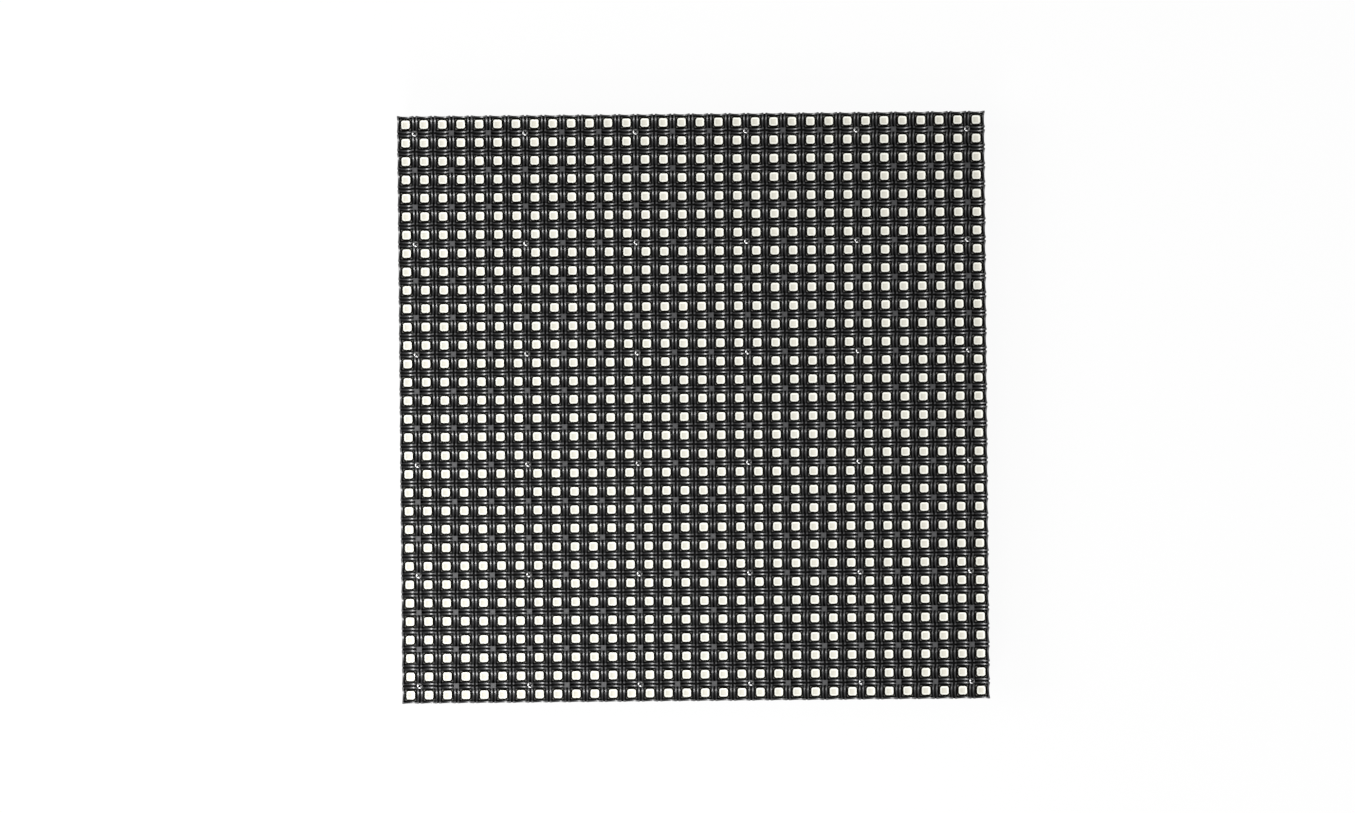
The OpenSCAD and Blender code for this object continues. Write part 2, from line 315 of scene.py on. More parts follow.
def rounded_block(side, radius, z0, z1, segments):
    """A square block with rounded upright edges."""
    half = side / 2
    ob = box((-half, -half, z0), (half, half, z1))
    select_edges(ob, lambda a, b: abs(a.z - b.z) > (z1 - z0) / 2)
    bpy.ops.mesh.bevel(offset=radius * MM, segments=segments, profile=0.5)
    bpy.ops.object.mode_set(mode="OBJECT")
    return ob


# ---- Louvre mask ----

RIDGE_T = 0.45
GROOVE_DEPTH = 1.8
GROOVE_Z = RIDGE_Z - GROOVE_DEPTH
HALF_GROOVE = WALL / 2 - RIDGE_T

# The dip in each wall's top is cut by a bar with its middle line above the ridges
DIP_RADIUS = 2.226
DIP_LIFT = 0.497
DIP_SIDES = 14

# The skin that closes the outer walls, and how close to a cut a corner counts as on it
OUTER_SKIN = 0.1
CUT_REACH = 0.001

# Screw landings and the holes in them
SEAT_Z = RIDGE_Z - 1.3
HALF_SEAT = 1.1
SHANK_HOLE_R = 0.85

# Faces steeper than this, and those in the grooves, keep a rougher finish from the mould and are
# painted much darker: painted shade in the deep parts of the mask
STEEP = 0.15
GROOVE_MARGIN = 0.02


def mask_tile(with_screw, satin_lit, matt_shaded):
    """Walls round the crossing at the origin and the one past it, cut through mid-openings."""
    lo = -PITCH / 2
    hi = 1.5 * PITCH
    far = hi + PITCH
    middles = (lo, PITCH / 2, hi)
    half = OPENING / 2
    tile = box((lo, lo, FACE_Z), (hi, hi, RIDGE_Z))
    boolean(tile, join([box((x - half, y - half, FACE_Z - PAST), (x + half, y + half, RIDGE_Z + PAST))
                        for x in middles for y in middles]))
    for axis in "xy":
        boolean(tile, join([bar_along(axis, across, RIDGE_Z + DIP_LIFT, DIP_RADIUS, 2 * far, DIP_SIDES)
                            for across in middles]))
    # The grooves stop at the crossing at the origin, which keeps a flat land
    grooves = [(PITCH, -far, far), (0, -far, -WALL / 2), (0, WALL / 2, far)]
    for axis in "xy":
        boolean(tile, join([box_along(axis, start, stop, across, HALF_GROOVE, GROOVE_Z, RIDGE_Z + PAST)
                            for across, start, stop in grooves]))
    if with_screw:
        boolean(tile, box((-HALF_SEAT, -HALF_SEAT, SEAT_Z), (HALF_SEAT, HALF_SEAT, RIDGE_Z + PAST)))
        boolean(tile, rod(0, 0, FACE_Z - PAST, RIDGE_Z, SHANK_HOLE_R, 16))
    select_faces(tile, lambda c, n: min(c.x, c.y) < lo + MERGE / 2 or max(c.x, c.y) > hi - MERGE / 2)
    bpy.ops.mesh.delete(type="FACE")
    bpy.ops.object.mode_set(mode="OBJECT")
    tile.data.materials.append(satin_lit)
    # The steep faces and the groove floors get the darker material: painted shade
    return paint(tile, matt_shaded, lambda c, n: n.z < STEEP or c.z < GROOVE_Z + GROOVE_MARGIN)


def close_side(mask, axis, side):
    """Cuts one side just inside the mask's edge, closes it and moves it out to the edge."""
    cut = HALF_MASK - OUTER_SKIN
    place = [0.0, 0.0, 0.0]
    normal = [0.0, 0.0, 0.0]
    shift = [0.0, 0.0, 0.0]
    place[axis] = side * cut * MM
    normal[axis] = float(side)
    shift[axis] = side * OUTER_SKIN * MM
    edit_all(mask)
    bpy.ops.mesh.bisect(plane_co=place, plane_no=normal, clear_outer=True,
                        threshold=CUT_REACH * MM)
    bpy.ops.mesh.select_all(action="SELECT")
    bpy.ops.mesh.fill_holes(sides=0)
    bpy.ops.object.mode_set(mode="OBJECT")
    select_vertices(mask, lambda p: side * p[axis] > cut - MERGE)
    bpy.ops.transform.translate(value=shift)
    bpy.ops.object.mode_set(mode="OBJECT")


def louvre_mask(satin_lit, matt_shaded):
    """Nine tiles round each screw, and 36 such blocks, trimmed and closed at the outer edge."""
    plain = mask_tile(False, satin_lit, matt_shaded)
    tiles = [mask_tile(True, satin_lit, matt_shaded)]
    step = 2 * PITCH
    for i in (-1, 0, 1):
        for j in (-1, 0, 1):
            if i or j:
                tiles.append(copy(plain, i * step, j * step))
    remove(plain)
    mask = join(tiles, "louvre_mask")
    edit_all(mask)
    bpy.ops.mesh.remove_doubles(threshold=MERGE * MM)
    bpy.ops.transform.translate(value=(FIRST_SCREW * MM, FIRST_SCREW * MM, 0))
    bpy.ops.object.mode_set(mode="OBJECT")
    grid(mask, SCREWS, SCREWS, SCREW_PITCH, True)
    edit_all(mask)
    bpy.ops.mesh.fill_holes(sides=0)
    bpy.ops.object.mode_set(mode="OBJECT")
    for axis in (0, 1):
        for side in (-1, 1):
            close_side(mask, axis, side)
    return smooth(outward(mask), 30)


# ---- LEDs ----

LED_SIDE = 3.4
LED_TOP = 16.0
LED_EDGE = 0.12
WINDOW_SIDE = 2.7
WINDOW_TOP = 16.1
WINDOW_R = 0.6
WINDOW_SEGMENTS = 3
CUP_DEPTH = 0.5

# The cup's rim, the width of its sloping wall, and how far the resin lies below the rim
CUP_RIM = 0.12
CUP_SLOPE = 0.4
CUP_SINK = 0.14


def led_grid(ob, name):
    first = -PITCH * (CELLS - 1) / 2
    return grid(move(ob, first, first, name), CELLS, CELLS, PITCH)


def led_bodies():
    body = rounded_block(LED_SIDE, LED_EDGE, FACE_Z, LED_TOP, 1)
    boolean(body, rounded_block(WINDOW_SIDE, WINDOW_R, LED_TOP - CUP_DEPTH, LED_TOP + PAST,
                                WINDOW_SEGMENTS))
    return led_grid(body, "led_bodies")


def led_lenses():
    """The white cup of each LED, filled with milky resin to just under its rim."""
    lens = rounded_block(WINDOW_SIDE, WINDOW_R, LED_TOP - CUP_DEPTH, WINDOW_TOP, WINDOW_SEGMENTS)
    select_faces(lens, on_top)
    bpy.ops.mesh.inset(thickness=CUP_RIM * MM)
    bpy.ops.mesh.inset(thickness=CUP_SLOPE * MM, depth=-CUP_SINK * MM)
    bpy.ops.object.mode_set(mode="OBJECT")
    return led_grid(smooth(lens, 30), "led_lenses")


# ---- Mask screws ----

HEAD_R = 1.0
HEAD_H = 0.9
HEAD_TOP = SEAT_Z + HEAD_H
SHANK_R = 0.8
SHANK_TIP_R = 0.35
SHANK_L = 7.5
TIP_L = 0.8

# Steps of the head's rounded rim: in from its side, and down from its top
HEAD_RIM = [(0.0, 0.4), (0.08, 0.18), (0.24, 0.04), (0.42, 0.0)]

# The cross recess: half its length, half its width, its depth and its turn
CROSS_REACH = 0.68
CROSS_HALF = 0.2
CROSS_DEPTH = 0.6
CROSS_TURN = 30
CROSS_PAST = 0.2


def mask_screws():
    screw = turned([(SHANK_TIP_R, SEAT_Z - SHANK_L), (SHANK_R, SEAT_Z - SHANK_L + TIP_L),
                    (SHANK_R, SEAT_Z), (HEAD_R, SEAT_Z)]
                   + [(HEAD_R - inward, HEAD_TOP - down) for inward, down in HEAD_RIM], 20)
    for turn in (0, 90):
        slot = box((-CROSS_REACH, -CROSS_HALF, HEAD_TOP - CROSS_DEPTH),
                   (CROSS_REACH, CROSS_HALF, HEAD_TOP + CROSS_PAST))
        slot.rotation_euler = (0, 0, math.radians(turn + CROSS_TURN))
        settle()
        boolean(screw, slot)
    smooth(screw, 40)
    move(screw, FIRST_SCREW, FIRST_SCREW, "mask_screws_cross")
    return grid(screw, SCREWS, SCREWS, SCREW_PITCH)


# ---- Chips and small parts, modelled standing on the board and then turned over ----

CHIP_LIFT = 0.1
CHIP_DRAFT = 0.1
CHIP_EDGE = 0.05
DIMPLE_IN = 0.8
DIMPLE_R = 0.4
DIMPLE_DEPTH = 0.1
LEAD_T = 0.16

# A pad: its thickness, its width over the lead's, and how far it runs in and out from the foot
PAD_T = 0.05
PAD_OVER_LEAD = 1.6
PAD_IN = 0.75
PAD_OUT = 0.25

SMALL_CHIP_W = 3.9
LARGE_CHIP_W = 7.5
BUFFER_L = 12.8
SMALL_REACH = 1.05
LARGE_REACH = 1.4

# Chip resistors and capacitors, and how far their middles lie from the chip they serve
PASSIVE_L = 2.0
PASSIVE_W = 1.25
END_CAP = 0.38
END_EDGE = 0.06
BELOW_CAPS = 0.02
RESISTOR_H = 0.5
CAPACITOR_H = 0.85
BESIDE = 2.2

# Places as (x, y, turn): the drivers and row switches stand midway between the screws
DATA_X = 72.0
BUFFER_X = (25.89, 37.39)
DECODER_X = 47.09
CAN_X = 14.74
CAN_Y = 7.65
MIDDLES = [(i - (SCREWS - 2) / 2) * SCREW_PITCH for i in range(SCREWS - 1)]
OUTER_MIDDLES = [y for y in MIDDLES if y]
DRIVERS = [(x, y, 0) for x in MIDDLES[1:-1] for y in OUTER_MIDDLES]
SWITCHES = [(s * DATA_X, y, 0) for s in (-1, 1) for y in OUTER_MIDDLES]
BUFFERS = [(s * x, 0, 90) for s in (-1, 1) for x in BUFFER_X]
DECODERS = [(s * DECODER_X, 0, 90) for s in (-1, 1)]
CANS = [(x * CAN_X, y * CAN_Y, 0) for x in (-1, 1) for y in (-1, 1)]
RESISTORS = [(x, y - SMALL_CHIP_W / 2 - BESIDE, 0) for x, y, _ in DRIVERS + SWITCHES]
CAPACITORS = [(x, y + SMALL_CHIP_W / 2 + BESIDE, 0) for x, y, _ in DRIVERS]
CAPACITORS += [(x, y - BUFFER_L / 2 - BESIDE, 0) for x, y, _ in BUFFERS]

# Name, body's length, width and height, leads in a row, their spacing, width and reach, places
CHIPS = [
    ("driver", (8.65, SMALL_CHIP_W, 1.5), (12, 0.635, 0.25, SMALL_REACH), DRIVERS),
    ("row_switch", (4.9, SMALL_CHIP_W, 1.5), (4, 1.27, 0.42, SMALL_REACH), SWITCHES),
    ("buffer", (BUFFER_L, LARGE_CHIP_W, 2.3), (10, 1.27, 0.42, LARGE_REACH), BUFFERS),
    ("decoder", (9.9, SMALL_CHIP_W, 1.5), (8, 1.27, 0.42, SMALL_REACH), DECODERS),
]


def chip(length, width, height):
    """A moulded chip body, widest at its parting line, with a dimple at pin one."""
    body = box((-length / 2, -width / 2, CHIP_LIFT), (length / 2, width / 2, height))
    edit_all(body)
    bpy.ops.mesh.bisect(plane_co=(0, 0, height / 2 * MM), plane_no=(0, 0, 1))
    drawn_in = (1 - 2 * CHIP_DRAFT / length, 1 - 2 * CHIP_DRAFT / width, 1)
    select_vertices(body, lambda p: p.z > height * 0.75)
    bpy.ops.transform.resize(value=drawn_in, center_override=(0, 0, 0))
    select_vertices(body, lambda p: p.z < height * 0.25)
    bpy.ops.transform.resize(value=drawn_in, center_override=(0, 0, 0))
    bevel(body, CHIP_EDGE, 1, 50)
    return boolean(body, rod(DIMPLE_IN - length / 2, DIMPLE_IN - width / 2, height - DIMPLE_DEPTH,
                             height + PAST, DIMPLE_R, 20))


def gull_wing(width, chip_w, chip_h, reach):
    """One lead: out of the parting line, down, and out along its pad."""
    side = chip_w / 2
    path = [(side - 0.1, chip_h / 2), (side + 0.2, chip_h / 2), (side + 0.35, chip_h / 2 - 0.15),
            (side + reach - 0.6, LEAD_T), (side + reach - 0.45, LEAD_T / 2),
            (side + reach, LEAD_T / 2)]
    inner, level = path[0]
    outer = path[1][0]
    deselect()
    bpy.ops.mesh.primitive_plane_add(size=1, location=(0, (inner + outer) / 2 * MM, level * MM))
    bpy.context.object.scale = (width * MM, (outer - inner) * MM, 1)
    lead = settle()
    select_edges(lead, lambda a, b: min(a.y, b.y) > outer - MERGE)
    for (ya, za), (yb, zb) in zip(path[1:], path[2:]):
        step = (0, (yb - ya) * MM, (zb - za) * MM)
        bpy.ops.mesh.extrude_region_move(TRANSFORM_OT_translate={"value": step})
    bpy.ops.object.mode_set(mode="OBJECT")
    mod = lead.modifiers.new("sheet", "SOLIDIFY")
    mod.thickness = LEAD_T * MM
    mod.offset = 0
    mod.use_even_offset = True
    bpy.ops.object.modifier_apply(modifier=mod.name)
    return outward(lead)


def both_rows(one, count, spacing):
    """A row of one lead or pad along a chip's side, and the same on the other side."""
    move(one, -spacing * (count - 1) / 2, 0)
    array(one, count, (spacing, 0, 0))
    return join([one, copy(one, turn=180)])


def solder_pad(width, chip_w, reach):
    """The tinned pad under the foot of one lead."""
    foot = chip_w / 2 + reach
    half = width * PAD_OVER_LEAD / 2
    return box((-half, foot - PAD_IN, 0), (half, foot + PAD_OUT, PAD_T))


def passive_body(height, drawn_in, lift):
    """The bare middle of a chip resistor or capacitor, a little smaller than its ends."""
    half = PASSIVE_L / 2 - END_CAP
    side = PASSIVE_W / 2 - drawn_in
    return box((-half, -side, lift), (half, side, height - BELOW_CAPS))


def end_caps(height):
    """The tinned ends of a chip resistor or capacitor."""
    middle = (PASSIVE_L - END_CAP) / 2
    ends = [box((s * middle - END_CAP / 2, -PASSIVE_W / 2, 0),
                (s * middle + END_CAP / 2, PASSIVE_W / 2, height)) for s in (-1, 1)]
    return bevel(join(ends), END_EDGE, 2, 60)


# ---- Electrolytic capacitors ----

CAN_R = 3.15
CAN_TOP = 6.2
CAN_BASE_H = 1.0
CAN_BASE_HALF = 3.4
CORNER_CUT = 1.7
TAB_T = 0.11
TAB_X = 2.6
TAB_HALF_L = 1.0
TAB_HALF_W = 0.8
TAB_ROOM = 0.1
TAB_HEADROOM = 0.01


def can():
    """The drawn can, with a crimp near its foot and a rolled edge round its top."""
    foot = CAN_BASE_H
    crimp_r = CAN_R - 0.25
    return turned([(CAN_R, foot), (CAN_R, foot + 0.7), (crimp_r, foot + 0.95), (crimp_r, foot + 1.15),
                   (CAN_R, foot + 1.4), (CAN_R, CAN_TOP - 0.5), (CAN_R - 0.15, CAN_TOP - 0.15),
                   (CAN_R - 0.5, CAN_TOP), (CAN_R - 0.75, CAN_TOP), (CAN_R - 0.85, CAN_TOP - 0.12),
                   (0.5, CAN_TOP - 0.12)], 40)


def can_base():
    """The square base under a can, with two cut corners and a slot for the tabs."""
    half = CAN_BASE_HALF
    base = box((-half, -half, 0), (half, half, CAN_BASE_H))
    knife = 3.0
    shift = half - CORNER_CUT / 2 + knife / math.sqrt(2)
    knives = []
    for side in (-1, 1):
        tool = box((-knife, -knife, -PAST), (knife, knife, CAN_BASE_H + PAST))
        tool.rotation_euler = (0, 0, math.pi / 4)
        knives.append(move(tool, shift, side * shift))
    boolean(base, join(knives))
    slot = TAB_HALF_W + TAB_ROOM
    boolean(base, box((-half - PAST, -slot, -PAST), (half + PAST, slot, TAB_T + TAB_HEADROOM)))
    return mend(bevel(mend(base), 0.1, 1, 40))


def can_tabs():
    """The two flat feet that come out from under a base."""
    return join([box((s * TAB_X - TAB_HALF_L, -TAB_HALF_W, 0),
                     (s * TAB_X + TAB_HALF_L, TAB_HALF_W, TAB_T)) for s in (-1, 1)])


# ---- Connectors ----

DATA_PITCH = 2.54
DATA_COLUMNS = 8
DATA_ROWS = 2
FIRST_DATA_X = -DATA_PITCH * (DATA_COLUMNS - 1) / 2
FIRST_DATA_Y = -DATA_PITCH * (DATA_ROWS - 1) / 2
DATA_PIN_SIDE = 0.64
DATA_PIN_L = 7.5
DATA_HOLE_HALF = 0.33

SHROUD_L = 27.98
SHROUD_W = 8.9
SHROUD_H = 9.0
SHROUD_WALL = 1.2
SHROUD_FLOOR = 2.5
KEYWAY_HALF = 2.25

# The slots in the shroud's closed side
SLOT_X = 9.0
SLOT_HALF = 0.6
SLOT_DEPTH = 0.35
SLOT_TOP = SHROUD_H - 1.5

POWER_PITCH = 3.96
POWER_PINS = 4
FIRST_POWER_X = -POWER_PITCH * (POWER_PINS - 1) / 2
POWER_PIN_SIDE = 1.14
POWER_PIN_L = 11.0
POWER_HOLE_HALF = 0.58

WAFER_L = 15.88
WAFER_W = 8.5
WAFER_BASE = 3.2
WAFER_H = 10.0
WAFER_WALL = 1.3

# The catches inside the locking wall, and the grooves in its back
CATCH_HALF = 1.1
CATCH_REACH = 0.6
CATCH_LOW = 5.2
CATCH_HIGH = 6.4
CATCH_ROOT = 0.2
GROOVE_HALF = 0.5
GROOVE_IN = 0.5
GROOVE_END = 1.2


def pin(side, length, tip):
    """A square pin with a tapered tip."""
    half = side / 2
    ob = box((-half, -half, 0), (half, half, length - tip))
    select_faces(ob, on_top)
    bpy.ops.mesh.extrude_region_move(TRANSFORM_OT_translate={"value": (0, 0, tip * MM)})
    bpy.ops.transform.resize(value=(0.5, 0.5, 1))
    bpy.ops.object.mode_set(mode="OBJECT")
    return bevel(ob, side * 0.08, 1, 60)


def data_grid(one):
    move(one, FIRST_DATA_X, FIRST_DATA_Y)
    return grid(one, DATA_COLUMNS, DATA_ROWS, DATA_PITCH)


def data_pins():
    return data_grid(pin(DATA_PIN_SIDE, DATA_PIN_L, 0.6))


def data_shroud():
    """A box header's shroud, with its keyway, side slots and holes for the pins."""
    x = SHROUD_L / 2
    y = SHROUD_W / 2
    top = SHROUD_H + PAST
    body = box((-x, -y, 0), (x, y, SHROUD_H))
    bevel(body, 0.25, 2, 60)
    boolean(body, box((SHROUD_WALL - x, SHROUD_WALL - y, SHROUD_FLOOR),
                      (x - SHROUD_WALL, y - SHROUD_WALL, top)))
    boolean(body, box((-KEYWAY_HALF, -SHROUD_W, SHROUD_FLOOR), (KEYWAY_HALF, 0, top)))
    for s in (-1, 1):
        boolean(body, box((s * SLOT_X - SLOT_HALF, y - SLOT_DEPTH, -PAST),
                          (s * SLOT_X + SLOT_HALF, SHROUD_W, SLOT_TOP)))
    hole = box((-DATA_HOLE_HALF, -DATA_HOLE_HALF, -PAST),
               (DATA_HOLE_HALF, DATA_HOLE_HALF, SHROUD_FLOOR + PAST))
    return boolean(body, data_grid(hole))


def power_header():
    """A wafer header: base, locking wall with its catches, and grooves in the wall's back."""
    back = WAFER_W / 2
    inside = back - WAFER_WALL
    body = box((-WAFER_L / 2, -back, 0), (WAFER_L / 2, back, WAFER_H))
    boolean(body, box((-WAFER_L, -WAFER_W, WAFER_BASE), (WAFER_L, inside, WAFER_H + PAST)))
    for x in (-POWER_PITCH, POWER_PITCH):
        catch = box((x - CATCH_HALF, inside - CATCH_REACH, CATCH_LOW),
                    (x + CATCH_HALF, inside + CATCH_ROOT, CATCH_HIGH))
        boolean(body, catch, "UNION")
    bevel(body, 0.2, 2, 60)
    for i in range(POWER_PINS):
        x = FIRST_POWER_X + i * POWER_PITCH
        boolean(body, box((x - POWER_HOLE_HALF, -POWER_HOLE_HALF, -PAST),
                          (x + POWER_HOLE_HALF, POWER_HOLE_HALF, WAFER_BASE + PAST)))
    for x in (-POWER_PITCH, 0, POWER_PITCH):
        boolean(body, box((x - GROOVE_HALF, back - GROOVE_IN, GROOVE_END),
                          (x + GROOVE_HALF, WAFER_W, WAFER_H - GROOVE_END)))
    return mend(body)


def power_pins():
    one = pin(POWER_PIN_SIDE, POWER_PIN_L, 0.9)
    return array(move(one, FIRST_POWER_X, 0), POWER_PINS, (POWER_PITCH, 0, 0))


# ---- Threaded inserts ----

INSERT_R = 2.3
INSERT_L = 6.0
INSERT_Y = 54.0
INSERT_SIDES = 40
THREAD_R = 1.5
THREAD_CORE_R = 1.25
THREAD_PITCH = 0.5
THREAD_TURNS = 11
KNURL_EDGE = 0.06
KNURL_DEPTH = 0.12


def insert():
    """A knurled brass insert with a groove round it and a thread in its bore."""
    waist = INSERT_R - 0.35
    ob = turned([(INSERT_R - 0.2, 0), (INSERT_R, 0.2), (INSERT_R, 2.5), (waist, 2.6), (waist, 3.4),
                 (INSERT_R, 3.5), (INSERT_R, INSERT_L - 0.2), (INSERT_R - 0.2, INSERT_L)], INSERT_SIDES)

    def knurl(centre, normal):
        """Every second facet of the outer wall."""
        facet = math.floor(math.atan2(centre.y, centre.x) / (2 * math.pi) * INSERT_SIDES)
        outer = math.hypot(centre.x, centre.y) > INSERT_R - 0.05
        return abs(normal.z) < 0.1 and outer and facet % 2 == 0

    select_faces(ob, knurl)
    bpy.ops.mesh.inset(thickness=KNURL_EDGE * MM, depth=-KNURL_DEPTH * MM, use_individual=True)
    bpy.ops.object.mode_set(mode="OBJECT")
    thread = [(THREAD_CORE_R, -PAST), (THREAD_CORE_R, 0.3)]
    for i in range(THREAD_TURNS):
        thread += [(THREAD_R, (i + 1) * THREAD_PITCH), (THREAD_CORE_R, (i + 1.5) * THREAD_PITCH)]
    thread += [(THREAD_CORE_R, INSERT_L + PAST)]
    return boolean(ob, turned(thread, 24))


def inserts():
    places = [(x * DATA_X, y * INSERT_Y, 0) for x in (-1, 1) for y in (-1, 1)]
    return copies(insert(), places, "knurled_inserts")


# ---- Helpers for materials ----

# Broad clouds of colour and gloss, and a fine grain in relief, both per metre
CLOUDS = 300.0
CLOUD_DETAIL = 4.0
GRAIN = 3600.0
GRAIN_DETAIL = 2.0
GRAIN_DEPTH = 0.0001
GLOSS_SPREAD = 0.08


def noise(tree, scale, detail):
    """A noise texture on the object's own coordinates."""
    place = tree.nodes.new("ShaderNodeTexCoord")
    node = tree.nodes.new("ShaderNodeTexNoise")
    node.inputs["Scale"].default_value = scale
    node.inputs["Detail"].default_value = detail
    tree.links.new(place.outputs["Object"], node.inputs["Vector"])
    return node.outputs["Fac"]


def material(name, colour, rough, metal=0.0, vary=0.12, bump=0.05, specular=0.5):
    """A solid material whose colour, gloss and surface vary slightly from place to place."""
    mat = bpy.data.materials.new(name)
    mat.use_nodes = True
    tree = mat.node_tree
    shader = tree.nodes["Principled BSDF"]
    shader.inputs["Metallic"].default_value = metal
    shader.inputs["Specular IOR Level"].default_value = specular
    clouds = noise(tree, CLOUDS, CLOUD_DETAIL)
    ramp = tree.nodes.new("ShaderNodeValToRGB")
    dark, light = ramp.color_ramp.elements
    dark.position = 0.3
    light.position = 0.7
    dark.color = [c * (1 - vary) for c in colour] + [1]
    light.color = [min(1.0, c * (1 + vary)) for c in colour] + [1]
    tree.links.new(clouds, ramp.inputs["Fac"])
    tree.links.new(ramp.outputs["Color"], shader.inputs["Base Color"])
    gloss = tree.nodes.new("ShaderNodeMapRange")
    gloss.inputs["To Min"].default_value = rough - GLOSS_SPREAD
    gloss.inputs["To Max"].default_value = rough + GLOSS_SPREAD
    tree.links.new(clouds, gloss.inputs["Value"])
    tree.links.new(gloss.outputs["Result"], shader.inputs["Roughness"])
    relief = tree.nodes.new("ShaderNodeBump")
    relief.inputs["Strength"].default_value = bump
    relief.inputs["Distance"].default_value = GRAIN_DEPTH
    tree.links.new(noise(tree, GRAIN, GRAIN_DETAIL), relief.inputs["Height"])
    tree.links.new(relief.outputs["Normal"], shader.inputs["Normal"])
    return mat


def calc(tree, operation, *values):
    """A math node fed with sockets or numbers."""
    node = tree.nodes.new("ShaderNodeMath")
    node.operation = operation
    for socket, value in zip(node.inputs, values):
        if isinstance(value, (int, float)):
            socket.default_value = value
        else:
            tree.links.new(value, socket)
    return node.outputs[0]


def ramp_between(tree, value, low, high):
    """0 below low, 1 above high and a smooth step between."""
    node = tree.nodes.new("ShaderNodeMapRange")
    node.interpolation_type = "SMOOTHSTEP"
    node.inputs["From Min"].default_value = low
    node.inputs["From Max"].default_value = high
    tree.links.new(value, node.inputs["Value"])
    return node.outputs["Result"]


def place_in_mm(tree):
    """Sockets for the place on the object in millimetres along X, Y and Z."""
    place = tree.nodes.new("ShaderNodeTexCoord")
    split = tree.nodes.new("ShaderNodeSeparateXYZ")
    tree.links.new(place.outputs["Object"], split.inputs["Vector"])
    return [calc(tree, "MULTIPLY", split.outputs[k], 1 / MM) for k in "XYZ"]


def from_led_centre(tree):
    """How far a place lies from the middle of its own LED, along X and along Y."""
    out = []
    for value in place_in_mm(tree)[:2]:
        part = calc(tree, "FRACT", calc(tree, "DIVIDE", value, PITCH))
        away = calc(tree, "MULTIPLY", calc(tree, "SUBTRACT", part, 0.5), PITCH)
        out.append(calc(tree, "ABSOLUTE", away))
    return out


def blend_colour(mat, factor, other):
    """Gives the base colour over to another one where the factor falls to 0."""
    tree = mat.node_tree
    socket = tree.nodes["Principled BSDF"].inputs["Base Color"]
    mix = tree.nodes.new("ShaderNodeMix")
    mix.data_type = "RGBA"
    mix.inputs["A"].default_value = list(other) + [1]
    tree.links.new(socket.links[0].from_socket, mix.inputs["B"])
    tree.links.new(factor, mix.inputs["Factor"])
    tree.links.new(mix.outputs["Result"], socket)


# ---- Materials ----

SATIN_IOR = 1.7

# How far outside the rounded corner of the cup the black starts to turn grey, and is all grey
GREY_FROM = 0.38
GREY_TO = 0.5

# Where the resin goes over to the white cup wall, from the middle of the LED; the resin's grey is
# partly its own, over the dark dies, and partly painted shade
RESIN_TO = 0.72
CUP_FROM = 0.95

# Tracks: half their spacing, half their width, the softness of their edge, and half a bundle
TRACK_STEP = 0.4
TRACK_HALF = 0.1
TRACK_EDGE = 0.04
BUNDLE_HALF = 2.0

# Half the spacing of the bundles along X and along Y
BUNDLES_X = 15.0
BUNDLES_Y = 12.0

# Where painted shade turns the screw's cross dark, below the head's top
CROSS_SHADE_FULL = 0.32
CROSS_SHADE_START = 0.2


def satin_lit_plastic():
    """The slightly polished upper faces of the mask, painted lighter than its steep and deep faces:
    painted light.
    """
    mat = material("satin black plastic, painted light", (0.026, 0.026, 0.028), 0.43, vary=0.25, bump=0.08,
                   specular=1.0)
    mat.node_tree.nodes["Principled BSDF"].inputs["IOR"].default_value = SATIN_IOR
    return mat


def led_plastic():
    """Black plastic, grey at the four corners round the white cup."""
    mat = material("dark package plastic", (0.13, 0.125, 0.12), 0.62, vary=0.15, specular=0.05)
    tree = mat.node_tree
    corner = WINDOW_SIDE / 2 - WINDOW_R
    squares = []
    for away in from_led_centre(tree):
        past = calc(tree, "MAXIMUM", calc(tree, "SUBTRACT", away, corner), 0.0)
        squares.append(calc(tree, "MULTIPLY", past, past))
    radius = calc(tree, "SQRT", calc(tree, "ADD", *squares))
    grey = ramp_between(tree, radius, WINDOW_R + GREY_FROM, WINDOW_R + GREY_TO)
    blend_colour(mat, grey, (0.005, 0.004, 0.003))
    return mat


def led_resin():
    """A white cup wall round slightly greyer milky resin; the grey middle is partly the resin over the
    dark dies and partly painted shade.
    """
    mat = material("white cup and milky resin, partly painted shade", (0.82, 0.82, 0.745), 0.45, vary=0.015)
    tree = mat.node_tree
    cup = ramp_between(tree, calc(tree, "MAXIMUM", *from_led_centre(tree)), RESIN_TO, CUP_FROM)
    # The greyer middle: partly the resin's own colour, partly painted shade
    blend_colour(mat, cup, (0.64, 0.62, 0.54))
    return mat


def solder_mask():
    """Dark lacquer with bundles of tracks that show faintly through it."""
    mat = material("dark solder mask", (0.007, 0.012, 0.009), 0.3, vary=0.08)
    tree = mat.node_tree
    clear = []
    for across, apart in zip(place_in_mm(tree)[:2], (BUNDLES_X, BUNDLES_Y)):
        track = ramp_between(tree, calc(tree, "PINGPONG", across, TRACK_STEP), TRACK_HALF,
                             TRACK_HALF + TRACK_EDGE)
        bundle = ramp_between(tree, calc(tree, "PINGPONG", across, apart), BUNDLE_HALF,
                              BUNDLE_HALF + TRACK_EDGE)
        clear.append(calc(tree, "MAXIMUM", track, bundle))
    blend_colour(mat, calc(tree, "MINIMUM", *clear), (0.016, 0.03, 0.02))
    return mat


def screw_steel():
    """Nickel-plated steel, with painted shade that makes it nearly black below the head's top: down in
    the cross recess and on the head's side in its seat.
    """
    mat = material("nickel screw steel with painted shade", (0.62, 0.62, 0.62), 0.42, metal=1.0, vary=0.1)
    tree = mat.node_tree
    height = place_in_mm(tree)[2]
    above = ramp_between(tree, height, HEAD_TOP - CROSS_SHADE_FULL, HEAD_TOP - CROSS_SHADE_START)
    # Painted shade: nearly black below the head's top
    blend_colour(mat, above, (0.012, 0.012, 0.013))
    return mat
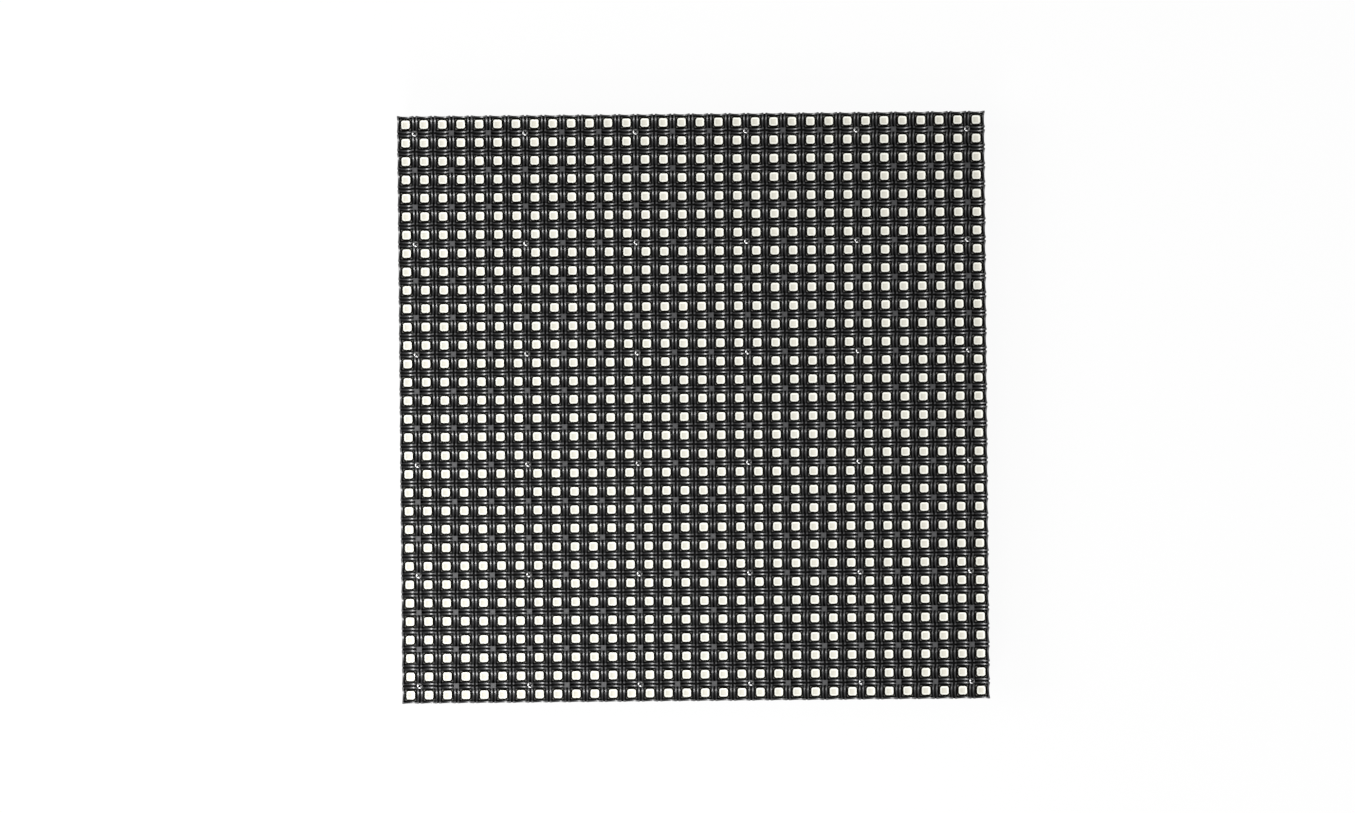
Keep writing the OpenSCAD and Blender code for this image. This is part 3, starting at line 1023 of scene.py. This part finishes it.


# The mask's upper faces are painted lighter and its steep and deep faces darker, as painted light and
# painted shade, beside a difference in gloss
satin_lit_black = satin_lit_plastic()
matt_shaded_black = material("matt black plastic, painted shade", (0.003, 0.003, 0.003), 0.75, vary=0.2, specular=0.15)
led_black = led_plastic()
led_white = led_resin()
steel = screw_steel()
board_lacquer = solder_mask()
nylon = material("glass-filled black nylon", (0.02, 0.02, 0.022), 0.55, vary=0.2, bump=0.2)
brass = material("brass", (0.72, 0.5, 0.2), 0.28, metal=1.0)
epoxy = material("black epoxy", (0.03, 0.03, 0.032), 0.5, bump=0.15)
tin = material("tinned metal", (0.62, 0.62, 0.6), 0.32, metal=1.0)
gold = material("gold plate", (0.83, 0.6, 0.25), 0.25, metal=1.0)
glass_black = material("resistor glass", (0.02, 0.02, 0.022), 0.25)
ceramic = material("tan ceramic", (0.42, 0.29, 0.17), 0.5)
aluminium = material("drawn aluminium", (0.7, 0.71, 0.72), 0.3, metal=1.0)
base_black = material("black phenolic", (0.02, 0.02, 0.022), 0.5)
shroud_black = material("black polyester", (0.022, 0.022, 0.024), 0.42)
nylon_white = material("natural nylon", (0.78, 0.75, 0.66), 0.4, vary=0.04)

# ---- Build ----


def finish_piece(ob, mat, slot, *nodes):
    """Gives a piece its material and body; without a material it keeps its own. The slot is not used.
    """
    if mat:
        ob.data.materials.clear()
        ob.data.materials.append(mat)
    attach(ob, "root")
    if nodes:
        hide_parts(*nodes)


def dress_face():
    finish_piece(louvre_mask(satin_lit_black, matt_shaded_black), None, "mask_black", "mask")
    finish_piece(led_bodies(), led_black, "led_black", "led_packages")
    finish_piece(led_lenses(), led_white, "led_resin", "led_windows")
    finish_piece(mask_screws(), steel, "screw_steel", "mask_screws")
    finish_piece(inserts(), brass, "insert_brass", "mounting_inserts")


def dress_chips():
    for kind, body, _, places in CHIPS:
        finish_piece(on_back(chip(*body), places, kind + "_bodies"), epoxy, "chip_epoxy",
                     kind + "_chips")
    for kind, (_, width, height), (count, spacing, lead_w, reach), places in CHIPS:
        leads = both_rows(gull_wing(lead_w, width, height, reach), count, spacing)
        finish_piece(on_back(leads, places, kind + "_leads"), tin, "pin_tin")
        pads = both_rows(solder_pad(lead_w, width, reach), count, spacing)
        finish_piece(on_back(pads, places, kind + "_pads"), tin, "pin_tin")


def dress_small_parts():
    resistor = passive_body(RESISTOR_H, drawn_in=0.025, lift=0.03)
    finish_piece(on_back(resistor, RESISTORS, "resistor_bodies"), glass_black, "resistor_black",
                 "chip_resistors")
    finish_piece(on_back(end_caps(RESISTOR_H), RESISTORS, "resistor_ends"), tin, "pin_tin")
    capacitor = passive_body(CAPACITOR_H, drawn_in=0.015, lift=0.02)
    finish_piece(on_back(capacitor, CAPACITORS, "capacitor_bodies"), ceramic, "capacitor_tan",
                 "chip_capacitors")
    finish_piece(on_back(end_caps(CAPACITOR_H), CAPACITORS, "capacitor_ends"), tin, "pin_tin")
    finish_piece(smooth(on_back(can(), CANS, "can_shells"), 35), aluminium, "can_aluminium",
                 "electrolytic_cans")
    finish_piece(on_back(can_base(), CANS, "can_bases"), base_black, "base_black",
                 "electrolytic_bases")
    finish_piece(on_back(can_tabs(), CANS, "can_tabs"), tin, "pin_tin")


def dress_connectors():
    for side, kind in ((-1, "in"), (1, "out")):
        place = [(side * DATA_X, 0, 90)]
        finish_piece(on_back(data_shroud(), place, "data_%s_housing" % kind), shroud_black,
                     "shroud_black", "data_%s_shroud" % kind)
        finish_piece(on_back(data_pins(), place, "data_%s_contacts" % kind), gold, "pin_gold",
                     "data_%s_pins" % kind)
    middle = [(0, 0, 0)]
    finish_piece(on_back(power_header(), middle, "power_wafer"), nylon_white, "header_white",
                 "power_header")
    finish_piece(on_back(power_pins(), middle, "power_contacts"), tin, "pin_tin", "power_pins")


def dress_cad_nodes():
    """The board and the frame keep their CAD shape and get a better material."""
    for name, mat in (("circuit_board", board_lacquer), ("back_frame", nylon)):
        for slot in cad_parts[name].material_slots:
            slot.material = mat


dress_face()
dress_chips()
dress_small_parts()
dress_connectors()
dress_cad_nodes()

# ---- Floor, light and camera: the floor and lamps in metres, the camera in millimetres ----

FLOOR_SIZE = 30.0
# The share of the floor that shows as plain white, the rest takes the light and the shadow
FLOOR_GLOW = 0.95
WORLD_STRENGTH = 0.18


def floor_material():
    mat = bpy.data.materials.new("pale floor")
    mat.use_nodes = True
    tree = mat.node_tree
    shader = tree.nodes["Principled BSDF"]
    shader.inputs["Base Color"].default_value = (0.8, 0.8, 0.8, 1)
    shader.inputs["Roughness"].default_value = 0.9
    glow = tree.nodes.new("ShaderNodeEmission")
    ray = tree.nodes.new("ShaderNodeLightPath")
    pick = tree.nodes.new("ShaderNodeMixShader")
    seen = calc(tree, "MULTIPLY", ray.outputs["Is Camera Ray"], FLOOR_GLOW)
    mirrored = calc(tree, "MAXIMUM", ray.outputs["Is Glossy Ray"], ray.outputs["Is Transmission Ray"])
    tree.links.new(calc(tree, "MAXIMUM", seen, mirrored), pick.inputs["Fac"])
    tree.links.new(shader.outputs["BSDF"], pick.inputs[1])
    tree.links.new(glow.outputs["Emission"], pick.inputs[2])
    tree.links.new(pick.outputs["Shader"], tree.nodes["Material Output"].inputs["Surface"])
    return mat


def lay_floor():
    deselect()
    bpy.ops.mesh.primitive_plane_add(size=FLOOR_SIZE, location=(0, 0, 0))
    floor = bpy.context.object
    floor.name = "floor"
    floor.data.materials.append(floor_material())


def light_world():
    world = bpy.data.worlds.new("studio")
    bpy.context.scene.world = world
    world.use_nodes = True
    sky = world.node_tree.nodes["Background"]
    sky.inputs["Color"].default_value = (1, 1, 1, 1)
    sky.inputs["Strength"].default_value = WORLD_STRENGTH


def lamp(name, place, width, height, power):
    """A soft box that faces the object."""
    deselect()
    bpy.ops.object.light_add(type="AREA", location=place)
    ob = bpy.context.object
    ob.name = name
    ob.data.shape = "RECTANGLE"
    ob.data.size = width
    ob.data.size_y = height
    ob.data.energy = power
    ob.rotation_euler = (-Vector(place)).to_track_quat("-Z", "Y").to_euler()


lay_floor()
light_world()
lamp("left light", (-0.75, 0.0, 0.55), 0.5, 0.45, 9)
lamp("front light", (-0.2, -0.7, 0.58), 0.35, 0.45, 7)
lamp("overhead light", (-0.3, -0.25, 0.95), 0.35, 0.35, 0.8)

# The camera looks straight down from above a point at the lower left of the module. Its lens is
# shifted, so that AIM is in the middle of a view which spans VIEW_WIDTH at the ridges.
CAMERA_AWAY = 750.0
CAMERA_FOOT = Vector((-30.0, -30.0, RIDGE_Z))
AIM = Vector((-5.2, 0.3, RIDGE_Z))
ROLL = math.radians(-0.53)
VIEW_WIDTH = 441.1525
SENSOR_WIDTH = 36.0


def place_camera():
    deselect()
    place = (CAMERA_FOOT + Vector((0, 0, CAMERA_AWAY))) * MM
    bpy.ops.object.camera_add(location=place, rotation=(0, 0, ROLL))
    camera = bpy.context.object
    camera.name = "camera"
    camera.data.sensor_width = SENSOR_WIDTH
    camera.data.lens = SENSOR_WIDTH * CAMERA_AWAY / VIEW_WIDTH
    offset = Matrix.Rotation(-ROLL, 3, "Z") @ (AIM - CAMERA_FOOT)
    camera.data.shift_x = offset.x / VIEW_WIDTH
    camera.data.shift_y = offset.y / VIEW_WIDTH
    camera.data.clip_start = 0.01
    camera.data.clip_end = 2 * FLOOR_SIZE
    bpy.context.scene.camera = camera


place_camera()
bpy.context.scene.view_settings.view_transform = "Standard"
